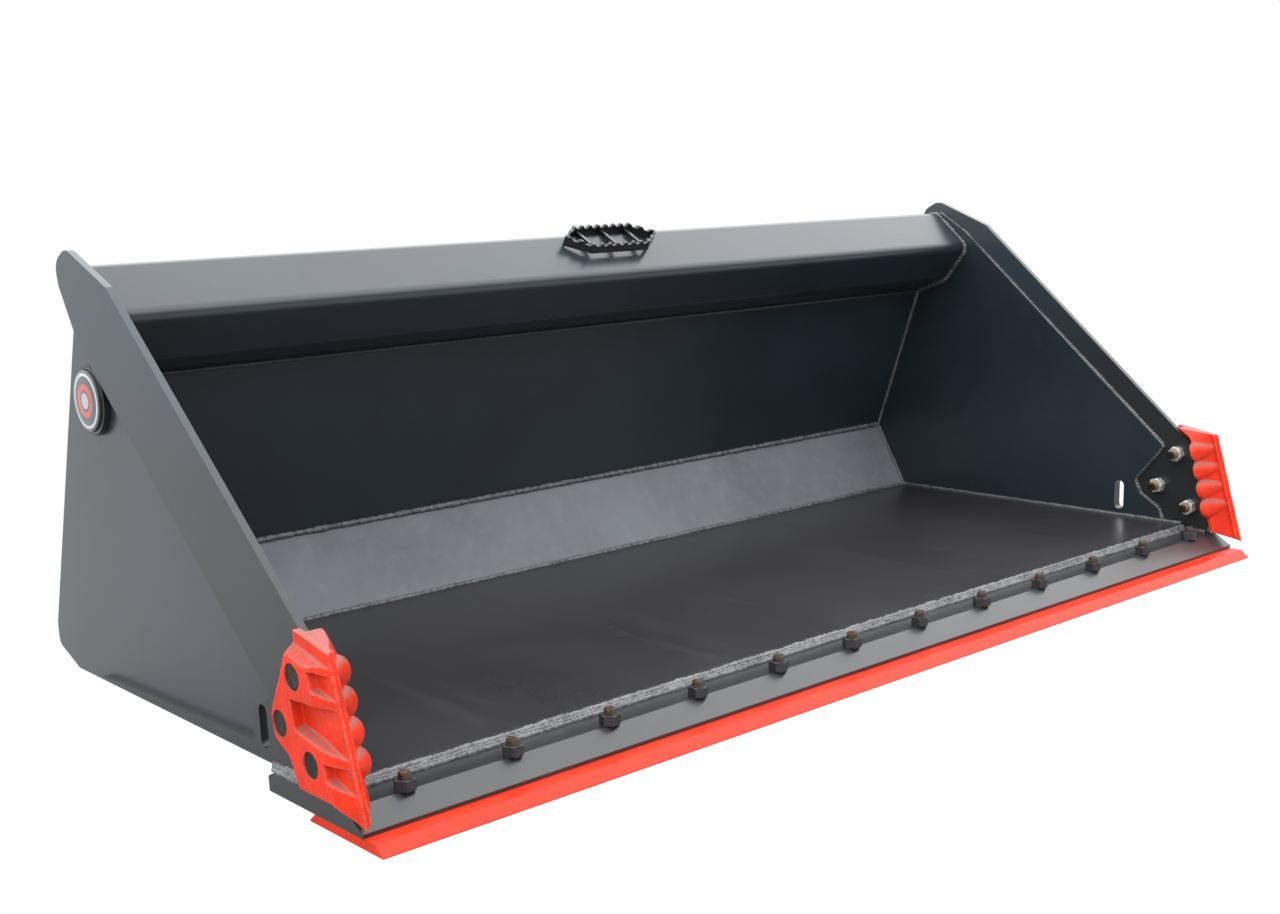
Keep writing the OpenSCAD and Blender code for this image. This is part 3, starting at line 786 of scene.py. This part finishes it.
def sand_cast(mesh, amount):
    """Roughens a casting's skin and marks its convex edges for wear."""
    bm = bmesh.new()
    bm.from_mesh(mesh)
    layer = bm.verts.layers.float.new("edge")
    for v in bm.verts:
        bend = sum((e.calc_face_angle_signed(0.0) for e in v.link_edges if e.is_manifold), 0.0)
        v[layer] = max(0.0, min(1.0, bend / max(1, len(v.link_edges)) * 5.0))
    for v in bm.verts:
        spot = v.co / MM
        rough = noise.noise(spot * 0.35) * 0.6 + noise.noise(spot * 0.9) * 0.4
        wide = noise.noise(spot * 0.06)
        v.co += v.normal * (rough * amount + wide * amount * 1.2) * MM
    return mesh_of(bm, mesh.name)


# ---- Settings and operators ----


class BucketColours(bpy.types.PropertyGroup):
    """Colours of the bucket's finishes."""

    charcoal: bpy.props.FloatVectorProperty(
        name="Charcoal", description="Paint of the shell", subtype="COLOR", size=3,
        default=(0.0148, 0.0212, 0.0270))
    heel: bpy.props.FloatVectorProperty(
        name="Heel grey", description="Flatter paint of the heel plate", subtype="COLOR", size=3,
        default=(0.145, 0.152, 0.168))
    floor: bpy.props.FloatVectorProperty(
        name="Floor", description="Paint of the floor plate", subtype="COLOR", size=3,
        default=(0.0205, 0.0190, 0.0198))
    # Painted reflection: this darker, warmer charcoal gives the edge plates a different look from the
    # shell's paint, standing in for the different reflection on them. The base edge reuses it.
    strip: bpy.props.FloatVectorProperty(
        name="Edge plate charcoal with painted reflection", description="Paint of the outer edge plates", subtype="COLOR", size=3,
        default=(0.0165, 0.0172, 0.0185))
    worn: bpy.props.FloatVectorProperty(
        name="Worn edge", description="Paint rubbed thin on plate edges", subtype="COLOR", size=3,
        default=(0.085, 0.088, 0.090))
    red: bpy.props.FloatVectorProperty(
        name="Red", description="Enamel of the wear parts", subtype="COLOR", size=3,
        default=(0.62, 0.026, 0.006))


class BucketSizes(bpy.types.PropertyGroup):
    """Sizes of the bucket's finishing details."""

    ease: bpy.props.FloatProperty(
        name="Edge easing", description="Width of the eased plate edges, in millimetres", default=1.0,
        min=0.2, max=3.0)
    bead_r: bpy.props.FloatProperty(
        name="Bead radius", description="Radius of the fillet weld beads, in millimetres", default=4.2,
        min=2.0, max=8.0)
    skin: bpy.props.FloatProperty(
        name="Cast skin", description="Roughness of the cast surfaces, in millimetres", default=0.35,
        min=0.0, max=1.0)


class BUCKET_OT_plates(bpy.types.Operator):
    """Ease and paint the plates of the shell, the rail and the quick attach."""

    bl_idname = "bucket.plates"
    bl_label = "Plates"

    def execute(self, context):
        tint, size = context.scene.bucket_colours, context.scene.bucket_sizes
        shell = sprayed_paint("charcoal paint", tint.charcoal, 0.30, tint.worn)
        heel = sprayed_paint("heel paint", tint.heel, 0.50, tint.worn, coat=0.0, shine=0.12)
        floor = floor_paint(tint.floor, tint.worn)
        black = sprayed_paint("black paint", (0.006, 0.006, 0.007), 0.36, (0.05, 0.05, 0.052))
        # The edge plates are darker and warmer low down and lighter towards the top: a painted reflection,
        # not a different paint.
        strip = sprayed_paint("edge plate paint", tint.strip, 0.34, tint.worn, coat=0.16, shine=0.45,
                              painted_top_colour=tuple(1.5 * c for c in tint.charcoal))
        for node in ("left_edge_plate", "right_edge_plate"):
            eased(node, size.ease, strip, "charcoal_paint")
        for node in ("left_side_sheet", "right_side_sheet", "back_sheet", "top_rail", "coupler_plate",
                     "coupler_top_lip", "coupler_bottom_flange", "left_coupler_end",
                     "right_coupler_end", "coupler_ribs", "floor_wear_bars"):
            eased(node, size.ease, shell, "charcoal_paint")
        eased("heel_plate", size.ease, heel, "charcoal_paint")
        eased("floor_plate", size.ease, floor, "floor_paint")
        eased("step_brackets", size.ease * 0.6, black, "charcoal_paint")
        bar = sprayed_paint("base edge paint", tint.strip, 0.31, tint.worn)
        eased("base_edge", size.ease * 2.2, bar, "charcoal_paint")
        for node in ("step_rear_grip", "step_front_grip"):
            eased(node, size.ease * 0.6, black, "black_paint")
        for node in ("left_badge_ring", "right_badge_ring"):
            eased(node, size.ease, black, "black_paint")
        return {"FINISHED"}


class BUCKET_OT_cutting_edge(bpy.types.Operator):
    """Finish the red bolt-on cutting edge."""

    bl_idname = "bucket.cutting_edge"
    bl_label = "Cutting edge"

    def execute(self, context):
        tint, size = context.scene.bucket_colours, context.scene.bucket_sizes
        enamel = red_enamel("red enamel on bar", tint.red, False, (0.62, 0.10, 0.05, 1))
        eased("bolt_on_edge", size.ease * 0.8, enamel, "red_paint")
        return {"FINISHED"}


class BUCKET_OT_side_cutters(bpy.types.Operator):
    """Cast the two side cutters."""

    bl_idname = "bucket.side_cutters"
    bl_label = "Side cutters"

    def execute(self, context):
        tint, size = context.scene.bucket_colours, context.scene.bucket_sizes
        enamel = red_enamel("red enamel on casting", tint.red, True, (0.60, 0.12, 0.08, 1))
        right = sand_cast(cutter_mesh(), size.skin)
        left = turned(right.copy(), Matrix.Scale(-1, 4, (1, 0, 0)))
        keep("left_side_cutter_cast", left, enamel, "red_paint", "left_side_cutter", smooth=50)
        keep("right_side_cutter_cast", right, enamel, "red_paint", "right_side_cutter", smooth=50)
        return {"FINISHED"}


class BUCKET_OT_fasteners(bpy.types.Operator):
    """Make the plow bolts and nuts of the edge and of the side cutters."""

    bl_idname = "bucket.fasteners"
    bl_label = "Fasteners"

    def execute(self, context):
        oxide = oxide_steel("edge hardware", (0.050, 0.051, 0.054), (0.062, 0.046, 0.034), 0.0)
        heads = oxide_steel("cutter bolt heads", (0.020, 0.018, 0.015), (0.070, 0.058, 0.040), 0.45)
        brass = oxide_steel("yellow plated thread", (0.22, 0.13, 0.05), (0.30, 0.17, 0.06), 0.7)
        rusty = oxide_steel("rusty thread", (0.050, 0.036, 0.026), (0.110, 0.055, 0.022), 0.6)
        zinc = zinc_plate()
        low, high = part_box("edge_nuts")
        reach = high.x / MM - NUT_AF / math.cos(math.radians(30)) / 2
        row = [place(reach * (2 * i / (EDGE_BOLTS - 1) - 1), 0, 0) for i in range(EDGE_BOLTS)]
        nut = hex_nut(NUT_AF, NUT_H, NUT_BORE, "nut")
        repeated("edge_nut_row", nut, row, (0, 0, 1), 5, oxide, "dark_hardware", "edge_nuts", smooth=25)
        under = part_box("edge_bolts")[0].z / MM - TOP_Z
        head = plow_head(SHANK_R, 15.2, under, 8, 36, "head")
        repeated("edge_bolt_row", head, row, (0, 0, 1), 9, oxide, "dark_hardware", "edge_bolts")
        thread = threaded_rod(SHANK_R, -4, 22, THREAD_PITCH, "thread")
        repeated("edge_thread_row", thread, row, (0, 0, 1), 9, rusty, "dark_hardware")
        for side, word in ((-1, "left"), (1, "right")):
            turn = Matrix.Rotation(-side * math.pi / 2, 4, "Y")
            tip = X_OUT - X_MID + CHEEK_T
            end = lathe([(0, tip + 20), (6.9, tip + 20), (7.2, tip + 28), (6.2, tip + 29.5),
                         (0, tip + 29.5)], 32, "end")
            head = plow_head(SHANK_R, 15.3, 1.5, 5, tip - 2, "head")
            head = turned(joined([head, end], "bolt"), turn)
            spots = [place(side * (X_OUT + CHEEK_T), y, z) for y, z in CUTTER_BOLTS]
            repeated(word + "_cutter_bolt_set", head, spots, (1, 0, 0), 3, heads, "dark_hardware",
                     word + "_cutter_bolts")
            thread = turned(threaded_rod(SHANK_R, -2, 25, THREAD_PITCH, "thread"), turn)
            spots = [place(side * X_MID, y, z) for y, z in CUTTER_BOLTS]
            repeated(word + "_cutter_thread_set", thread, spots, (1, 0, 0), 4, brass, "dark_hardware")
            nut = turned(hex_nut(NUT_AF, NUT_H, NUT_BORE, "nut"), turn)
            repeated(word + "_cutter_nut_set", nut, spots, (1, 0, 0), 11, zinc, "zinc_hardware",
                     word + "_cutter_nuts", smooth=25)
        return {"FINISHED"}


class BUCKET_OT_welds(bpy.types.Operator):
    """Lay the weld beads of the shell, the sides and the quick attach."""

    bl_idname = "bucket.welds"
    bl_label = "Welds"

    def execute(self, context):
        r = context.scene.bucket_sizes.bead_r
        paint = weld_paint("rubbed weld", (0.010, 0.011, 0.012), (0.115, 0.115, 0.120))
        dull = weld_paint("painted weld", (0.004, 0.005, 0.006), (0.040, 0.043, 0.046))
        flecked = weld_paint("flecked weld", (0.022, 0.023, 0.025), (0.150, 0.150, 0.155), 0.02)
        grey = weld_paint("heel weld", (0.012, 0.013, 0.015), (0.13, 0.135, 0.145), 0.10)

        def across(y, z, inset=2):
            return [place(-X_IN + inset, y, z), place(X_IN - inset, y, z)]

        bead("floor_front_weld", [across(FLOOR_FRONT - 6, 1), across(FLOOR_FRONT - 3.4, 3.9),
                                  across(FLOOR_FRONT - 1, 7)], r * 0.95, flecked, ripple=23, seed=1.0,
             depth=0.4, rough=4.2)
        bead("heel_foot_weld", [across(HEEL_FOOT.x - 1, HEEL_FOOT.y + 1)], r * 0.9, grey, ripple=17,
             seed=2.0, rough=3.0)
        bead("heel_top_weld", [across(HEEL_TOP.x - 3, HEEL_TOP.y + 1)], r * 0.95, grey, ripple=17,
             seed=3.0, rough=3.2)
        bead("rail_lip_weld", [across(LIP.x - 1, LIP.y - 1)], r * 0.6, dull, seed=4.0, rough=1.8)
        bead("rail_rear_weld", [across(RAIL_REAR + 0.5, RAIL_FOOT.y)], r * 0.6, paint, seed=5.0)
        front = RAKE_FOOT + INWARD * LAP_SETBACK
        low = crossing(front, ALONG, Vector((0, 152)), Vector((1, 0)))
        high = crossing(front, ALONG, Vector((0, SIDE_TOP_Z - 12)), Vector((1, 0)))
        ear = SIDE_TOP + Vector((127, 18))
        lap = bends([(88, 10), (98, 34, 12), (136, 58, 14), (150, 84, 14), (*low, 6), (*high, 16),
                     (ear.x - 20, ear.y + 8)])
        rail = bends([(*LIP,), (*BELLY, 16), (*NOSE, 16), (*RIDGE, 16), (RAIL_REAR - 8, RAIL_TOP)])
        for side, word in ((-1, "left"), (1, "right")):
            inner = side * (X_IN - 0.5)
            bead(word + "_lap_weld", [[place(side * (X_MID - 2), *p) for p in lap]], r * 0.95, paint,
                 ripple=6, seed=6.0 + side, depth=0.5, rough=0.9)
            bead(word + "_rail_weld", [[place(inner, *p) for p in rail]], r * 1.15, paint, ripple=7,
                 seed=8.0 + side, depth=0.4, rough=2.0)
            seam = [(FLOOR_FRONT + 2, FLOOR_T + 0.5), (HEEL_FOOT.x, FLOOR_T + 0.5), tuple(HEEL_TOP),
                    tuple(LIP)]
            bead(word + "_shell_weld", [[place(inner, *p) for p in seam]], r * 0.8, paint, seed=10.0 + side,
                 depth=0.8, rough=1.4)
            bead(word + "_edge_weld", [[place(side * (X_OUT + dx), y, z) for y in (4, 163)]
                                       for dx, z in ((0.5, 2), (-1.5, 6.5), (-3.5, 10.5))], r,
                 flecked, ripple=19, seed=12.0 + side, depth=0.5, rough=3.4)
            bead(word + "_toe_weld", [[place(side * X_MID, y, 1) for y in (4, 84)]], r * 0.8,
                 paint, seed=14.0 + side, depth=0.8, rough=1.4)
        return {"FINISHED"}


class BUCKET_OT_badges(bpy.types.Operator):
    """Make the domed faces of the side badges, with a plain ring in place of any mark."""

    bl_idname = "bucket.badges"
    bl_label = "Badges"

    def execute(self, context):
        lacquer = badge_finish()
        for side, word in ((-1, "left"), (1, "right")):
            node = word + "_badge_disc"
            low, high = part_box(node)
            r = (high.y - low.y) / 2 / MM
            depth = (high.x - low.x) / MM
            outline = [(0, 0), (r, 0), (r, depth - 3)] + [
                (r * math.cos(math.radians(a)), depth - 3 + 2.6 * math.sin(math.radians(a)))
                for a in range(10, 90, 8)] + [(0, depth - 0.4)]
            disc = lathe(outline, 64, node)
            ring = disc.attributes.new("radius", "FLOAT", "POINT")
            for i, v in enumerate(disc.vertices):
                ring.data[i].value = v.co.xy.length / (r * MM)
            turned(disc, Matrix.Translation(((low.x if side > 0 else high.x), (low.y + high.y) / 2,
                                             (low.z + high.z) / 2))
                   @ Matrix.Rotation(side * math.pi / 2, 4, "Y"))
            keep(word + "_badge_face", disc, lacquer, "badge_face", node, smooth=40)
        return {"FINISHED"}


class BUCKET_OT_stage(bpy.types.Operator):
    """Set the pale floor, the soft light and the camera."""

    bl_idname = "bucket.stage"
    bl_label = "Stage"

    def execute(self, context):
        scene = context.scene
        scene.view_settings.view_transform = "Standard"
        ground = bmesh.new()
        bmesh.ops.create_grid(ground, x_segments=1, y_segments=1, size=40)
        floor = bpy.data.objects.new("studio_floor", mesh_of(ground, "studio floor"))
        floor.location.z = -0.0006
        context.collection.objects.link(floor)
        s = Finish("studio floor")
        floor.data.materials.append(s.finish(Base_Color=(0.30, 0.30, 0.30, 1), Roughness=0.9))
        floor.visible_camera = False
        studio_light(scene)
        camera = bpy.data.objects.new("camera", bpy.data.cameras.new("camera"))
        context.collection.objects.link(camera)
        camera.location = (-1.7416, -1.8357, 0.6884)
        aim = Vector((0.62834, 0.7461, -0.22027))
        roll = Matrix.Rotation(math.radians(-2.19), 4, "Z")
        facing = aim.to_track_quat("-Z", "Y").to_matrix().to_4x4() @ roll
        camera.rotation_euler = facing.to_euler()
        camera.data.lens = 44.43
        camera.data.shift_x = 0.0287
        camera.data.shift_y = 0.0699
        scene.camera = camera
        return {"FINISHED"}


def studio_light(scene):
    """A bright sky overhead that fades to a dim horizon, brighter on the left than in front."""
    world = bpy.data.worlds.new("studio")
    world.use_nodes = True
    scene.world = world
    s = Shade(world.node_tree)
    way = s.add("ShaderNodeTexCoord", output="Generated")
    split = s.add("ShaderNodeSeparateXYZ", {}, {0: way})
    x, y, z = (Socket(s, split.link.node.outputs[i]) for i in range(3))
    overhead = z.above(0.10, 0.64)
    back = y.above(-0.2, 0.9) * (1 - overhead)
    front = (0 - y).above(0.1, 0.8) * z.above(-0.02, 0.05) * (1 - overhead)
    left = (0 - x).above(0.55, 0.95) * (1 - overhead)
    power = 0.20 + overhead * 3.15 + back * 1.0 + left * 0.9 + front * 0.20
    sky = s.add("ShaderNodeBackground", {}, {"Color": (0.97, 0.985, 1.0, 1), "Strength": power})
    plain = s.add("ShaderNodeBackground", {}, {"Color": (1, 1, 1, 1)})
    seen = s.add("ShaderNodeLightPath", output="Is Camera Ray")
    both = s.add("ShaderNodeMixShader", {}, {0: seen, 1: sky, 2: plain})
    s.feed(world.node_tree.nodes["World Output"].inputs["Surface"], both)


class BUCKET_PT_panel(bpy.types.Panel):
    """Lists the bucket's finishing steps."""

    bl_idname = "BUCKET_PT_panel"
    bl_label = "Bucket"
    bl_space_type = "VIEW_3D"
    bl_region_type = "UI"
    bl_category = "Bucket"

    def draw(self, context):
        column = self.layout.column()
        for group in (context.scene.bucket_colours, context.scene.bucket_sizes):
            for name in group.bl_rna.properties.keys():
                if name not in ("rna_type", "name"):
                    column.prop(group, name)
        for step in STEPS:
            column.operator(step.bl_idname)


STEPS = (BUCKET_OT_stage, BUCKET_OT_plates, BUCKET_OT_cutting_edge, BUCKET_OT_side_cutters,
         BUCKET_OT_fasteners, BUCKET_OT_welds, BUCKET_OT_badges)
CLASSES = (BucketColours, BucketSizes, *STEPS, BUCKET_PT_panel)


def register():
    for cls in CLASSES:
        bpy.utils.register_class(cls)
    bpy.types.Scene.bucket_colours = bpy.props.PointerProperty(type=BucketColours)
    bpy.types.Scene.bucket_sizes = bpy.props.PointerProperty(type=BucketSizes)


def unregister():
    del bpy.types.Scene.bucket_colours
    del bpy.types.Scene.bucket_sizes
    for cls in reversed(CLASSES):
        bpy.utils.unregister_class(cls)


def main():
    register()
    for step in STEPS:
        group, name = step.bl_idname.split(".")
        getattr(getattr(bpy.ops, group), name)()


if __name__ == "__main__":
    main()
